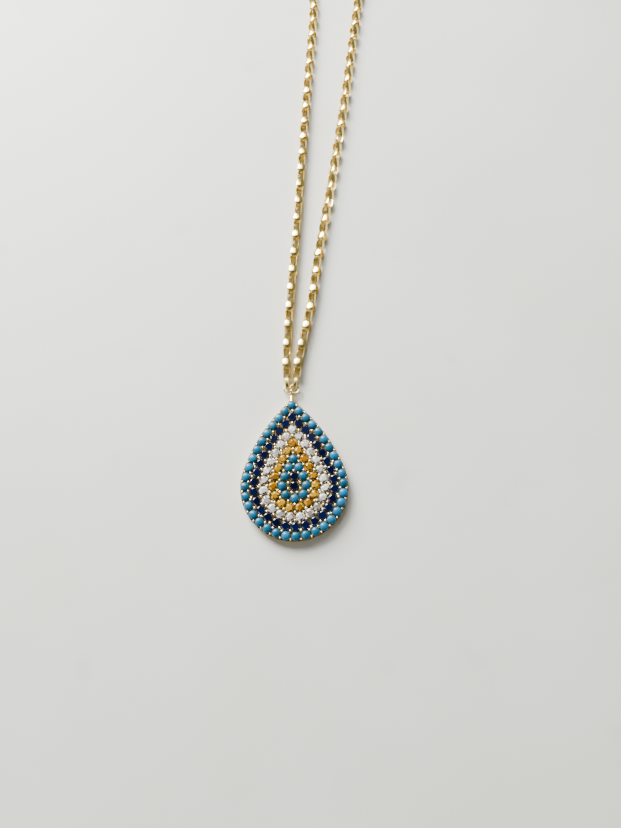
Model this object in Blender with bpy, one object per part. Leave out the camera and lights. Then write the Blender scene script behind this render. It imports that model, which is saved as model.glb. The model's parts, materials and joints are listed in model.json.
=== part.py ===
"""Evil eye pendant necklace: a teardrop plate pave-set with 118 round stones, hung on a fine rolo chain.

The pendant lies face up on its back, tip towards +Y. The chain runs on from the tip to a coil that holds
the rest of its length, with the spring ring clasp and the catch ring in the middle of the coil.
Lengths are in millimetres until they reach Blender, which takes metres.
"""

from math import acos, asin, cos, pi, radians, sin

import bmesh
import bpy
from mathutils import Matrix, Vector

MM = 0.001

# ---- driving sizes ------------------------------------------------------------------------------------
# Stones
STONE_DIAMETER = 1.04
STONE_GAP = 0.14  # between neighbours in a row
ROW_GAP = 0.07  # between rows
GIRDLE_HEIGHT = 0.12
GIRDLE_RISE = 0.06  # of the girdle's lower edge above the plate
PAVILION_DEPTH = 0.7
STONE_SIDES = 8

# The eye: two pupil stones, the innermost row round them and four more rows outside it. Each row is a
# teardrop, a round end and two flank arcs.
LOWER_PUPIL_HEIGHT = 0.03  # above the round end's centre
PUPIL_GAP = 0.12
EYE_MARGIN = 0.42  # from the innermost row's stones to the lower pupil
EYE_FLANK_RADIUS = 15.56  # of the innermost row
SHOULDER_ANGLE = radians(20.0)  # where round end and flank meet, above the +X direction

# Setting
PLATE_THICKNESS = 1.0
RIM_WIDTH = 0.04  # gold outside the outer stones
STONE_CLEARANCE = 0.03
SEAT_BACK_RADIUS = 0.3

# Loop and jump rings at the tip
PIECE_GAP = 0.02  # between pieces that are soldered or touch on the real pendant
LOOP_HOLE_RADIUS = 0.34
LOOP_WIRE = 0.18
LOOP_FLOOR_GAP = 0.07  # from the loop down to the surface
NECK_LENGTH = 0.76
NECK_RADIUS = 0.17
JUMP_RING_RADIUS = 0.565  # of the wire's centre line
JUMP_RING_WIRE = 0.15
RING_PLAY = 0.03  # between each ring and the loop, and between the two rings

# Chain links
LINK_LENGTH = 1.6
LINK_WIDTH = 1.05
LINK_BAND = 0.48
LINK_THICKNESS = 0.13
LINK_SLACK = 0.09  # between a link and the ring that it hangs in
END_LINK_SPREAD = 0.16  # the first links hang this far outside the middle of their jump rings
CHAIN_PLAY = 0.05  # how much wider a run of chain is than its links
CHAIN_FLOOR_GAP = 0.005

# Coil of stored chain
COIL_HOLE_RADIUS = 5.66
COIL_TURNS = 2.25
COIL_LAYERS = 2
COIL_GAP = 0.05  # to the two runs that enter it

# Clasp: an open ring of tube with a sprung pin in its bore. Angles run anticlockwise from +X.
CLASP_RING_RADIUS = 2.0  # of the tube's centre line
CLASP_TUBE_RADIUS = 0.45
CLASP_BORE_RADIUS = 0.3
CLASP_GAP_START = radians(-57.5)
CLASP_GAP_END = radians(-2.5)
TRIGGER_CLEARANCE = 0.04
TRIGGER_OVERLAP = radians(7.5)  # of the pin past the gap, into the bore
TRIGGER_BACK = radians(-112.0)
TRIGGER_TRAVEL = radians(60.0)
KNOB_ANGLE = radians(-76.0)
KNOB_RISE = 0.42  # above the tube
SLOT_WIDTH = 0.34
SLOT_MARGIN = radians(7.0)  # past the knob's way at each end
SPRING_END = radians(-245.0)
SPRING_GAP = radians(2.5)  # between pin and spring
SPRING_TURNS = 8
SPRING_WIRE = 0.09

# What joins clasp and catch to the chain's ends
FINDINGS_SIDESTEP = 2.5  # clasp and catch lie this far to each side of the coil's middle
END_LINK_RISE = 3.9  # the chain's last links, above the coil's middle
CLASP_JUMP_RADIUS = 0.6
CLASP_JUMP_WIRE = 0.2
EYE_HOLE_RADIUS = 0.32
EYE_WIRE = 0.2
EYE_PASS_RISE = 0.06  # the jump ring crosses the eye's hole this far above its middle
CATCH_RING_RADIUS = 1.1
CATCH_RING_WIRE = 0.3
FINDINGS_GAP = 0.02  # from the eye, and from the catch ring's far side, down to the surface

# The two chain runs, from the hanging point to the coil: across, along, and how far off the surface
LEFT_ROUTE = (
    (-0.56, 2.10, 0.0), (-0.52, 3.85, 0.0), (-0.30, 7.25, 0.0), (0.15, 12.15, 0.0), (0.70, 17.35, 0.0),
    (1.35, 23.35, 0.0), (2.00, 29.65, 0.0), (2.58, 35.45, 0.0), (3.15, 41.45, 0.0), (4.05, 50.35, 0.0),
    (4.95, 58.85, 0.0), (5.20, 62.35, 0.0), (5.05, 65.65, 0.0), (4.35, 68.85, 0.0), (3.05, 71.95, 0.0),
    (1.45, 74.80, 0.0),
)
RIGHT_ROUTE = (
    (0.72, 2.10, 0.0), (1.08, 4.45, 0.0), (2.45, 9.95, 0.0), (3.35, 14.25, 0.0), (4.08, 18.65, 0.0),
    (4.85, 22.45, 0.0), (5.63, 26.35, 0.0), (6.55, 31.15, 0.0), (7.49, 36.15, 0.0), (8.27, 40.35, 0.0),
    (9.08, 44.75, 0.0), (9.96, 50.15, 0.0), (10.95, 56.35, 0.0), (12.20, 63.55, 0.0), (12.85, 66.20, 0.0),
    (13.75, 68.75, 0.10), (14.85, 71.35, 0.32), (16.40, 74.80, 0.75),
)
ROUTE_STEP = 3.0  # between the tube's points

# ---- sizes worked out from them -------------------------------------------------------------------------
STONE_RADIUS = STONE_DIAMETER / 2
STONE_PITCH = STONE_DIAMETER + STONE_GAP
ROW_STEP = STONE_DIAMETER + ROW_GAP
GIRDLE_LOW = PLATE_THICKNESS + GIRDLE_RISE
CULET_HEIGHT = GIRDLE_LOW - PAVILION_DEPTH
PUPIL_HEIGHTS = (LOWER_PUPIL_HEIGHT + STONE_DIAMETER + PUPIL_GAP, LOWER_PUPIL_HEIGHT)

# Table radius and crown height of each cut, as shares of the stone's radius
CUTS = {"cabochon": (0.62, 0.6), "brilliant": (0.58, 0.34), "table_cut": (0.78, 0.28)}

# Rows from the outside in: name, cut, material, one node for the whole row
ROWS = (
    ("turquoise_outer", "cabochon", "turquoise", True),
    ("navy", "table_cut", "navy_stone", True),
    ("clear", "brilliant", "clear_stone", True),
    ("yellow", "brilliant", "yellow_stone", False),
    ("turquoise_inner", "cabochon", "turquoise", False),
)

# The teardrop through the outer row's stones
ROUND_RADIUS = STONE_DIAMETER + EYE_MARGIN + (len(ROWS) - 1) * ROW_STEP
FLANK_RADIUS = EYE_FLANK_RADIUS + (len(ROWS) - 1) * ROW_STEP
FLANK_CENTRE = Vector((
    -(FLANK_RADIUS - ROUND_RADIUS) * cos(SHOULDER_ANGLE),
    -(FLANK_RADIUS - ROUND_RADIUS) * sin(SHOULDER_ANGLE),
))
TIP_ANGLE = acos(-FLANK_CENTRE.x / FLANK_RADIUS)
TIP_Y = FLANK_CENTRE.y + FLANK_RADIUS * sin(TIP_ANGLE)
OUTSET = STONE_RADIUS + RIM_WIDTH

LOOP_RADIUS = LOOP_HOLE_RADIUS + LOOP_WIRE / 2  # of the wire's centre line
LOOP_OUTER = LOOP_HOLE_RADIUS + LOOP_WIRE
LOOP_Y = TIP_Y + OUTSET + NECK_LENGTH + LOOP_OUTER
LOOP_Z = LOOP_OUTER + LOOP_FLOOR_GAP
# Each ring leans as far to its side as the loop's wire in its hole lets it
JUMP_RING_LEAN = JUMP_RING_RADIUS - (JUMP_RING_WIRE + LOOP_WIRE) / 2 - RING_PLAY
JUMP_RING_STACK = JUMP_RING_WIRE + RING_PLAY

PENDANT_TOP = LOOP_Y + LOOP_OUTER
PENDANT_BOTTOM = -ROUND_RADIUS - OUTSET
EYE_Y = -(PENDANT_TOP + PENDANT_BOTTOM) / 2  # puts the origin under the middle of the pendant

CHAIN_DIAMETER = LINK_WIDTH + CHAIN_PLAY
CHAIN_HEIGHT = CHAIN_DIAMETER / 2 + CHAIN_FLOOR_GAP
COIL_OUTER_RADIUS = COIL_HOLE_RADIUS + (COIL_TURNS + 1) * CHAIN_DIAMETER
COIL_REACH = COIL_OUTER_RADIUS + CHAIN_DIAMETER / 2 + COIL_GAP
COIL_X = (LEFT_ROUTE[-1][0] + RIGHT_ROUTE[-1][0]) / 2
COIL_Y = LEFT_ROUTE[-1][1] + (COIL_REACH**2 - (COIL_X - LEFT_ROUTE[-1][0]) ** 2) ** 0.5
TRIGGER_FRONT = CLASP_GAP_END + TRIGGER_OVERLAP
FINDINGS_HEIGHT = EYE_HOLE_RADIUS + EYE_WIRE + FINDINGS_GAP
CATCH_TILT = asin((FINDINGS_HEIGHT - CATCH_RING_WIRE / 2 - FINDINGS_GAP) / (2 * CATCH_RING_RADIUS))


# ---- scene and materials --------------------------------------------------------------------------------
def clear_scene():
    for obj in list(bpy.data.objects):
        bpy.data.objects.remove(obj, do_unlink=True)


def principled(name, colour, metallic, roughness):
    material = bpy.data.materials.new(name)
    material.use_nodes = True
    shader = material.node_tree.nodes["Principled BSDF"]
    shader.inputs["Base Color"].default_value = (*colour, 1.0)
    shader.inputs["Metallic"].default_value = metallic
    shader.inputs["Roughness"].default_value = roughness
    material.diffuse_color = (*colour, 1.0)
    return material


def make_materials():
    return {
        "gold": principled("gold", (0.83, 0.66, 0.36), 1.0, 0.2),
        "steel": principled("steel", (0.6, 0.6, 0.62), 1.0, 0.3),
        "turquoise": principled("turquoise", (0.05, 0.37, 0.55), 0.0, 0.25),
        "navy_stone": principled("navy_stone", (0.01, 0.02, 0.12), 0.0, 0.08),
        "clear_stone": principled("clear_stone", (0.9, 0.9, 0.88), 0.0, 0.03),
        "yellow_stone": principled("yellow_stone", (0.85, 0.48, 0.04), 0.0, 0.05),
    }


def make_empty(name, parent=None, x=0.0, y=0.0, z=0.0):
    empty = bpy.data.objects.new(name, None)
    empty.location = Vector((x, y, z)) * MM
    empty.parent = parent
    bpy.context.scene.collection.objects.link(empty)
    return empty


def add_object(name, data, parent, material, x=0.0, y=0.0, z=0.0, turn=0.0):
    obj = bpy.data.objects.new(name, data)
    obj.location = Vector((x, y, z)) * MM
    obj.rotation_euler = (0.0, 0.0, turn)
    obj.parent = parent
    if material and not data.materials:
        data.materials.append(material)
    bpy.context.scene.collection.objects.link(obj)
    return obj


def finish_mesh(bm, name, smooth_angle=None):
    """A mesh in metres from a bmesh in millimetres, faces turned outwards."""
    bmesh.ops.recalc_face_normals(bm, faces=bm.faces)
    bmesh.ops.scale(bm, vec=(MM, MM, MM), verts=bm.verts)
    mesh = bpy.data.meshes.new(name)
    bm.to_mesh(mesh)
    bm.free()
    if smooth_angle is not None:
        mesh.shade_smooth()
        mesh.set_sharp_from_angle(angle=radians(smooth_angle))
    return mesh


def cut_away(obj, cutter, operation="DIFFERENCE"):
    """Cuts (or joins) one object by another, which then stays as a guide."""
    cutter.hide_render = True
    cutter.display_type = "WIRE"
    modifier = obj.modifiers.new(cutter.name, "BOOLEAN")
    modifier.operation = operation
    modifier.solver = "EXACT"
    modifier.object = cutter


# ---- teardrop -------------------------------------------------------------------------------------------
def teardrop_half(inset):
    """Radii, tip angle and arc lengths of the right half of the teardrop moved inwards by inset."""
    flank = FLANK_RADIUS - inset
    end = ROUND_RADIUS - inset
    tip_angle = acos(-FLANK_CENTRE.x / flank)
    return flank, end, tip_angle, flank * (tip_angle - SHOULDER_ANGLE), end * (SHOULDER_ANGLE + pi / 2)


def row_length(inset):
    half = teardrop_half(inset)
    return 2 * (half[3] + half[4])


def point_on_row(inset, distance):
    """The point at this distance from the tip, clockwise, and the row's direction there."""
    flank, end, tip_angle, flank_length, end_length = teardrop_half(inset)
    half_length = flank_length + end_length
    side = 1 if distance <= half_length else -1
    along = distance if side == 1 else 2 * half_length - distance
    if along < 1e-9:
        return Vector((0.0, FLANK_CENTRE.y + flank * sin(tip_angle))), 0.0
    if along <= flank_length:
        angle = tip_angle - along / flank
        centre = FLANK_CENTRE
        radius = flank
    else:
        angle = SHOULDER_ANGLE - (along - flank_length) / end
        centre = Vector((0.0, 0.0))
        radius = end
    point = centre + radius * Vector((cos(angle), sin(angle)))
    return Vector((side * point.x, point.y)), side * (angle - pi / 2)


def row_places(index):
    """Places of a row's stones, one of them at the tip: (point, direction) for each."""
    inset = index * ROW_STEP
    length = row_length(inset)
    count = round(length / STONE_PITCH)
    return [point_on_row(inset, number * length / count) for number in range(count)]


def outline_points(outset, flank_steps=14, end_steps=22, tip_steps=3):
    """Outline of the plate: the teardrop moved outwards, its tip rounded about the tip stone."""
    arcs = (
        (Vector((0.0, 0.0)), ROUND_RADIUS + outset, -pi / 2, SHOULDER_ANGLE, end_steps),
        (FLANK_CENTRE, FLANK_RADIUS + outset, SHOULDER_ANGLE, TIP_ANGLE, flank_steps),
        (Vector((0.0, TIP_Y)), outset, TIP_ANGLE, pi / 2, tip_steps),
    )
    right = []
    for centre, radius, start, end, steps in arcs:
        for step in range(steps):
            angle = start + (end - start) * step / steps
            right.append(centre + radius * Vector((cos(angle), sin(angle))))
    top = Vector((0.0, TIP_Y + outset))
    left = [Vector((-point.x, point.y)) for point in reversed(right[1:])]
    return right + [top] + left


# ---- stones ---------------------------------------------------------------------------------------------
def stone_rings(cut):
    """Radius and height of a stone's rings from girdle to table."""
    table, crown = CUTS[cut]
    girdle_top = GIRDLE_LOW + GIRDLE_HEIGHT
    return (
        (STONE_RADIUS, GIRDLE_LOW),
        (STONE_RADIUS, girdle_top),
        (STONE_RADIUS * table, girdle_top + STONE_RADIUS * crown),
    )


def add_stone(bm, cut, centre, turn, open_sides=()):
    """One stone with its culet down; the girdle is left open on the sides where a row goes on."""
    step = 2 * pi / STONE_SIDES
    rings = []
    for radius, height in stone_rings(cut):
        ring = []
        for corner in range(STONE_SIDES):
            angle = turn + (corner - 0.5) * step
            ring.append(bm.verts.new((
                centre.x + radius * cos(angle), centre.y + radius * sin(angle), height,
            )))
        rings.append(ring)
    culet = bm.verts.new((centre.x, centre.y, CULET_HEIGHT))
    for corner in range(STONE_SIDES):
        after = (corner + 1) % STONE_SIDES
        bm.faces.new((culet, rings[0][after], rings[0][corner]))
        if corner not in open_sides:
            bm.faces.new((rings[0][corner], rings[0][after], rings[1][after], rings[1][corner]))
        bm.faces.new((rings[1][corner], rings[1][after], rings[2][after], rings[2][corner]))
    bm.faces.new(rings[2])
    return rings


def side_towards(turn, heading):
    """The number of the girdle side that faces this heading best."""
    step = 2 * pi / STONE_SIDES
    return round((heading - turn) / step) % STONE_SIDES


def joined_row(index, cut):
    """A whole row as one body: each girdle runs on into the next one as a flat bar."""
    places = row_places(index)
    bm = bmesh.new()
    stones = []
    for number, (centre, turn) in enumerate(places):
        before = places[number - 1][0] - centre
        after = places[(number + 1) % len(places)][0] - centre
        back = side_towards(turn, Vector((1.0, 0.0)).angle_signed(before) * -1)
        ahead = side_towards(turn, Vector((1.0, 0.0)).angle_signed(after) * -1)
        rings = add_stone(bm, cut, centre, turn, (back, ahead))
        stones.append((rings, back, ahead))
    for number, (rings, _, ahead) in enumerate(stones):
        next_rings, back, _ = stones[(number + 1) % len(stones)]
        a, b = ahead, (ahead + 1) % STONE_SIDES
        c, d = back, (back + 1) % STONE_SIDES
        near = (rings[0][a], rings[0][b], rings[1][b], rings[1][a])
        far = (next_rings[0][d], next_rings[0][c], next_rings[1][c], next_rings[1][d])
        for corner in range(4):
            after = (corner + 1) % 4
            bm.faces.new((near[corner], near[after], far[after], far[corner]))
    return finish_mesh(bm, f"{ROWS[index][0]}_row")


def single_stone(cut):
    bm = bmesh.new()
    add_stone(bm, cut, Vector((0.0, 0.0)), 0.0)
    return finish_mesh(bm, f"{cut}_stone")


def make_stones(pendant, materials):
    for index, (name, cut, finish, joined) in enumerate(ROWS):
        if joined:
            add_object(f"{name}_row", joined_row(index, cut), pendant, materials[finish])
            continue
        for number, (centre, turn) in enumerate(row_places(index), start=1):
            add_object(
                f"{name}_stone_{number:02d}", single_stone(cut), pendant, materials[finish],
                centre.x, centre.y, turn=turn,
            )
    for number, height in enumerate(PUPIL_HEIGHTS, start=1):
        add_object(
            f"pupil_stone_{number}", single_stone("table_cut"), pendant, materials["navy_stone"],
            0.0, height,
        )


# ---- setting --------------------------------------------------------------------------------------------
def seat_cutters():
    """Tapered seats for every stone, open at the back, as one cutter."""
    places = [place for index in range(len(ROWS)) for place in row_places(index)]
    places += [(Vector((0.0, height)), 0.0) for height in PUPIL_HEIGHTS]
    pavilion = STONE_RADIUS * (PLATE_THICKNESS - CULET_HEIGHT) / PAVILION_DEPTH
    mouth = pavilion + STONE_CLEARANCE
    slope = (mouth - SEAT_BACK_RADIUS) / PLATE_THICKNESS
    past = 0.1
    bm = bmesh.new()
    for centre, turn in places:
        bmesh.ops.create_cone(
            bm, cap_ends=True, segments=STONE_SIDES,
            radius1=SEAT_BACK_RADIUS - past * slope, radius2=mouth + past * slope,
            depth=PLATE_THICKNESS + 2 * past,
            matrix=Matrix.Translation((centre.x, centre.y, PLATE_THICKNESS / 2))
            @ Matrix.Rotation(turn - pi / STONE_SIDES, 4, "Z"),
        )
    return finish_mesh(bm, "stone_seats")


def make_setting(pendant, materials):
    bm = bmesh.new()
    floor = bm.faces.new([bm.verts.new((point.x, point.y, 0.0)) for point in outline_points(OUTSET)])
    raised = bmesh.ops.extrude_face_region(bm, geom=[floor])["geom"]
    top = [item for item in raised if isinstance(item, bmesh.types.BMVert)]
    bmesh.ops.translate(bm, verts=top, vec=(0.0, 0.0, PLATE_THICKNESS))
    plate = add_object("pendant_setting", finish_mesh(bm, "pendant_setting"), pendant, materials["gold"])
    cut_away(plate, add_object("stone_seats", seat_cutters(), pendant, None))


# ---- rings, links and loops -------------------------------------------------------------------------------
def turned_ring(bm, radius, wire, segments, sides, matrix, start=0.0, sweep=2 * pi):
    """A round wire of this diameter bent about the local Z axis; part of a turn gets flat ends."""
    whole = abs(sweep - 2 * pi) < 1e-9
    count = segments if whole else segments + 1
    loops = []
    for number in range(count):
        angle = start + sweep * number / segments
        outward = Vector((cos(angle), sin(angle), 0.0))
        loop = []
        for side in range(sides):
            around = 2 * pi * side / sides
            point = outward * (radius + wire / 2 * cos(around)) + Vector((0, 0, wire / 2 * sin(around)))
            loop.append(bm.verts.new(matrix @ point))
        loops.append(loop)
    pairs = zip(loops, loops[1:] + loops[:1]) if whole else zip(loops, loops[1:])
    for loop, following in pairs:
        for side in range(sides):
            after = (side + 1) % sides
            bm.faces.new((loop[side], following[side], following[after], loop[after]))
    if not whole:
        bm.faces.new(loops[0])
        bm.faces.new(reversed(loops[-1]))


def ring_mesh(name, radius, wire, segments=16, sides=6, matrix=None):
    bm = bmesh.new()
    turned_ring(bm, radius, wire, segments, sides, matrix or Matrix())
    return finish_mesh(bm, name, smooth_angle=70)


UPRIGHT = Matrix.Rotation(pi / 2, 4, "Y")  # turns a ring's axis from Z to X


def link_mesh(name, steps=16):
    """One upright oval link: a flat band bent about X, its length along Y."""
    half_band = LINK_BAND / 2
    bm = bmesh.new()
    loops = []
    for step in range(steps):
        angle = 2 * pi * step / steps
        loop = []
        for inset, side in ((0.0, -1), (0.0, 1), (LINK_THICKNESS, 1), (LINK_THICKNESS, -1)):
            loop.append(bm.verts.new((
                side * half_band,
                (LINK_LENGTH / 2 - inset) * cos(angle),
                (LINK_WIDTH / 2 - inset) * sin(angle),
            )))
        loops.append(loop)
    for loop, following in zip(loops, loops[1:] + loops[:1]):
        for corner in range(4):
            after = (corner + 1) % 4
            bm.faces.new((loop[corner], following[corner], following[after], loop[after]))
    return finish_mesh(bm, name, smooth_angle=50)


def make_loop(pendant, materials):
    """The upright loop at the tip, on its short neck."""
    mesh = ring_mesh("pendant_loop", LOOP_RADIUS, LOOP_WIRE, matrix=UPRIGHT)
    loop = add_object("pendant_loop", mesh, pendant, materials["gold"], 0.0, LOOP_Y, LOOP_Z)
    start = TIP_Y + OUTSET + PIECE_GAP
    end = LOOP_Y - LOOP_RADIUS
    bm = bmesh.new()
    bmesh.ops.create_cone(
        bm, cap_ends=True, segments=8, radius1=NECK_RADIUS * 1.5, radius2=NECK_RADIUS * 0.7,
        depth=end - start,
        matrix=Matrix.Rotation(-pi / 2, 4, "X"),
    )
    neck = add_object(
        "loop_neck", finish_mesh(bm, "loop_neck"), pendant, None, 0.0, (start + end) / 2, LOOP_Z,
    )
    cut_away(loop, neck, "UNION")


def make_jump_rings(hang, materials):
    """The two rings that carry the pendant, one to each side of the loop, stacked in its hole."""
    for name, side in (("left", -1), ("right", 1)):
        mesh = ring_mesh(f"jump_ring_{name}", JUMP_RING_RADIUS, JUMP_RING_WIRE)
        add_object(
            f"jump_ring_{name}", mesh, hang, materials["gold"],
            side * JUMP_RING_LEAN, LOOP_RADIUS, LOOP_Z + side * JUMP_RING_STACK / 2,
        )


def end_link_offset(ring_radius, wire, spread=0.0):
    """From a flat ring's centre along to the middle of the upright link that hangs in it."""
    hole = ring_radius - wire / 2
    reach = (hole**2 - (spread + LINK_BAND / 2 + PIECE_GAP) ** 2) ** 0.5
    return reach - LINK_SLACK - LINK_THICKNESS + LINK_LENGTH / 2


# ---- chain ----------------------------------------------------------------------------------------------
def smooth_route(points, step):
    """Points about a step apart on the smooth curve through a route's own points."""
    knots = [Vector((across, along, CHAIN_HEIGHT + lift)) for across, along, lift in points]
    knots = [2 * knots[0] - knots[1]] + knots + [2 * knots[-1] - knots[-2]]
    samples = [knots[1]]
    for a, b, c, d in zip(knots, knots[1:], knots[2:], knots[3:]):
        parts = max(1, round((c - b).length / step))
        for part in range(1, parts + 1):
            t = part / parts
            samples.append(0.5 * (
                2 * b + (c - a) * t + (2 * a - 5 * b + 4 * c - d) * t**2 + (3 * b - a - 3 * c + d) * t**3
            ))
    return samples


def make_chain_run(name, route, hang, materials):
    samples = smooth_route(route, ROUTE_STEP)
    curve = bpy.data.curves.new(name, "CURVE")
    curve.dimensions = "3D"
    curve.bevel_depth = CHAIN_DIAMETER / 2 * MM
    curve.bevel_resolution = 2
    curve.use_fill_caps = True
    spline = curve.splines.new("POLY")
    spline.points.add(len(samples) - 1)
    for point, sample in zip(spline.points, samples):
        point.co = (*(sample * MM), 1.0)
    add_object(name, curve, hang, materials["gold"])


def make_coil(hang, materials):
    """The stored chain's outer shape: a ring of two layers of turns with rounded edges."""
    outer = COIL_OUTER_RADIUS
    inner = COIL_HOLE_RADIUS
    height = COIL_LAYERS * CHAIN_DIAMETER
    edge = CHAIN_DIAMETER / 4
    profile = (
        (outer, edge), (outer, height - edge), (outer - edge, height), (inner + edge, height),
        (inner, height - edge), (inner, edge), (inner + edge, 0.0), (outer - edge, 0.0),
    )
    steps = 32
    bm = bmesh.new()
    loops = []
    for step in range(steps):
        angle = 2 * pi * step / steps
        loops.append([bm.verts.new((r * cos(angle), r * sin(angle), z)) for r, z in profile])
    for loop, following in zip(loops, loops[1:] + loops[:1]):
        for corner in range(len(profile)):
            after = (corner + 1) % len(profile)
            bm.faces.new((loop[corner], following[corner], following[after], loop[after]))
    mesh = finish_mesh(bm, "chain_coil", smooth_angle=40)
    add_object("chain_coil", mesh, hang, materials["gold"], COIL_X, COIL_Y)


# ---- clasp ----------------------------------------------------------------------------------------------
def arc_cutter(name, radius, wire, start, end, segments):
    bm = bmesh.new()
    turned_ring(bm, radius, wire, segments, 8, Matrix(), start, end - start)
    return finish_mesh(bm, name)


def slot_cutter(name):
    """A curved slab through the tube's outer wall, along the way of the knob."""
    start = KNOB_ANGLE + SLOT_MARGIN
    end = KNOB_ANGLE - TRIGGER_TRAVEL - SLOT_MARGIN
    inner = CLASP_RING_RADIUS + CLASP_BORE_RADIUS / 3
    outer = CLASP_RING_RADIUS + 1.5 * CLASP_TUBE_RADIUS
    half = SLOT_WIDTH / 2
    steps = 8
    bm = bmesh.new()
    loops = []
    for step in range(steps + 1):
        angle = start + (end - start) * step / steps
        corners = ((inner, -half), (outer, -half), (outer, half), (inner, half))
        loops.append([bm.verts.new((r * cos(angle), r * sin(angle), z)) for r, z in corners])
    for loop, following in zip(loops, loops[1:]):
        for corner in range(4):
            after = (corner + 1) % 4
            bm.faces.new((loop[corner], following[corner], following[after], loop[after]))
    bm.faces.new(loops[0])
    bm.faces.new(loops[-1])
    return finish_mesh(bm, name)


def make_clasp_body(clasp, materials):
    """The open ring of tube, bored from end to end, with the knob's slot in its outer wall."""
    name = "clasp_body"
    bm = bmesh.new()
    sweep = 2 * pi - (CLASP_GAP_END - CLASP_GAP_START)
    turned_ring(bm, CLASP_RING_RADIUS, 2 * CLASP_TUBE_RADIUS, 28, 8, Matrix(), CLASP_GAP_END, sweep)
    body = add_object(name, finish_mesh(bm, name, smooth_angle=50), clasp, materials["gold"])
    past = radians(3.0)
    bore = arc_cutter(
        "clasp_bore", CLASP_RING_RADIUS, 2 * CLASP_BORE_RADIUS,
        CLASP_GAP_END - past, CLASP_GAP_END + sweep + past, 30,
    )
    cut_away(body, add_object("clasp_bore", bore, clasp, None))
    cut_away(body, add_object("knob_slot", slot_cutter("knob_slot"), clasp, None))


def make_trigger(clasp, materials):
    """The curved pin that closes the gap, and the knob that draws it back."""
    name = "clasp_trigger"
    bm = bmesh.new()
    wire = 2 * (CLASP_BORE_RADIUS - TRIGGER_CLEARANCE)
    turned_ring(bm, CLASP_RING_RADIUS, wire, 12, 8, Matrix(), TRIGGER_BACK, TRIGGER_FRONT - TRIGGER_BACK)
    pin = add_object(name, finish_mesh(bm, name, smooth_angle=50), clasp, materials["gold"])
    stem = CLASP_TUBE_RADIUS + KNOB_RISE
    knob = bmesh.new()
    bmesh.ops.create_cone(
        knob, cap_ends=True, segments=8, radius1=SLOT_WIDTH / 2 - TRIGGER_CLEARANCE,
        radius2=SLOT_WIDTH / 2 - TRIGGER_CLEARANCE, depth=stem,
        matrix=Matrix.Rotation(KNOB_ANGLE, 4, "Z")
        @ Matrix.Translation((CLASP_RING_RADIUS + stem / 2, 0.0, 0.0))
        @ Matrix.Rotation(pi / 2, 4, "Y"),
    )
    cut_away(pin, add_object("trigger_knob", finish_mesh(knob, "trigger_knob"), clasp, None), "UNION")


def make_spring(clasp, materials):
    """The coil spring behind the trigger, bent to the bore: a wire wound round the arc."""
    start = TRIGGER_BACK - SPRING_GAP
    coil = CLASP_BORE_RADIUS - TRIGGER_CLEARANCE - SPRING_WIRE / 2
    per_turn, sides = 8, 4
    total = SPRING_TURNS * per_turn
    bm = bmesh.new()
    loops = []
    for step in range(total + 1):
        along = start + (SPRING_END - start) * step / total
        around = 2 * pi * step / per_turn
        outward = Vector((cos(along), sin(along), 0.0))
        spoke = outward * cos(around) + Vector((0.0, 0.0, sin(around)))
        tangent = Vector((-sin(along), cos(along), 0.0))
        centre = outward * CLASP_RING_RADIUS + spoke * coil
        loop = []
        for side in range(sides):
            turn = 2 * pi * (side + 0.5) / sides
            loop.append(bm.verts.new(centre + (spoke * cos(turn) + tangent * sin(turn)) * SPRING_WIRE / 2))
        loops.append(loop)
    for loop, following in zip(loops, loops[1:]):
        for side in range(sides):
            after = (side + 1) % sides
            bm.faces.new((loop[side], following[side], following[after], loop[after]))
    bm.faces.new(loops[0])
    bm.faces.new(reversed(loops[-1]))
    add_object("clasp_spring", finish_mesh(bm, "clasp_spring"), clasp, materials["steel"])


def make_clasp(hang, materials):
    """The chain's last link, its jump ring, the eye and the spring ring, in line along -Y."""
    x = COIL_X + FINDINGS_SIDESTEP
    link_y = COIL_Y + END_LINK_RISE
    ring_y = link_y - end_link_offset(CLASP_JUMP_RADIUS, CLASP_JUMP_WIRE)
    eye_radius = EYE_HOLE_RADIUS + EYE_WIRE / 2
    eye_y = ring_y - CLASP_JUMP_RADIUS - EYE_PASS_RISE
    centre_y = eye_y - EYE_HOLE_RADIUS - EYE_WIRE - PIECE_GAP - CLASP_TUBE_RADIUS - CLASP_RING_RADIUS
    gold = materials["gold"]
    add_object("end_link_clasp", link_mesh("end_link_clasp"), hang, gold, x, link_y, CHAIN_HEIGHT)
    jump = ring_mesh("clasp_jump_ring", CLASP_JUMP_RADIUS, CLASP_JUMP_WIRE)
    add_object("clasp_jump_ring", jump, hang, gold, x, ring_y, FINDINGS_HEIGHT)
    eye = ring_mesh("clasp_eye", eye_radius, EYE_WIRE, matrix=UPRIGHT)
    add_object("clasp_eye", eye, hang, gold, x, eye_y, FINDINGS_HEIGHT)
    clasp = make_empty("clasp_centre", hang, x, centre_y, FINDINGS_HEIGHT)
    make_clasp_body(clasp, materials)
    make_trigger(clasp, materials)
    make_spring(clasp, materials)


def make_catch(hang, materials):
    """The other end of the chain: its last link and the closed ring that the clasp takes.

    The ring leans from the link down to the surface.
    """
    x = COIL_X - FINDINGS_SIDESTEP
    link_y = COIL_Y + END_LINK_RISE
    top_y = link_y - end_link_offset(CATCH_RING_RADIUS, CATCH_RING_WIRE) + CATCH_RING_RADIUS
    gold = materials["gold"]
    add_object("end_link_catch", link_mesh("end_link_catch"), hang, gold, x, link_y, CHAIN_HEIGHT)
    tilt = Matrix.Rotation(CATCH_TILT, 4, "X")
    ring = ring_mesh("catch_ring", CATCH_RING_RADIUS, CATCH_RING_WIRE, 18, matrix=tilt)
    add_object(
        "catch_ring", ring, hang, gold, x, top_y - CATCH_RING_RADIUS * cos(CATCH_TILT),
        FINDINGS_HEIGHT - CATCH_RING_RADIUS * sin(CATCH_TILT),
    )


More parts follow.
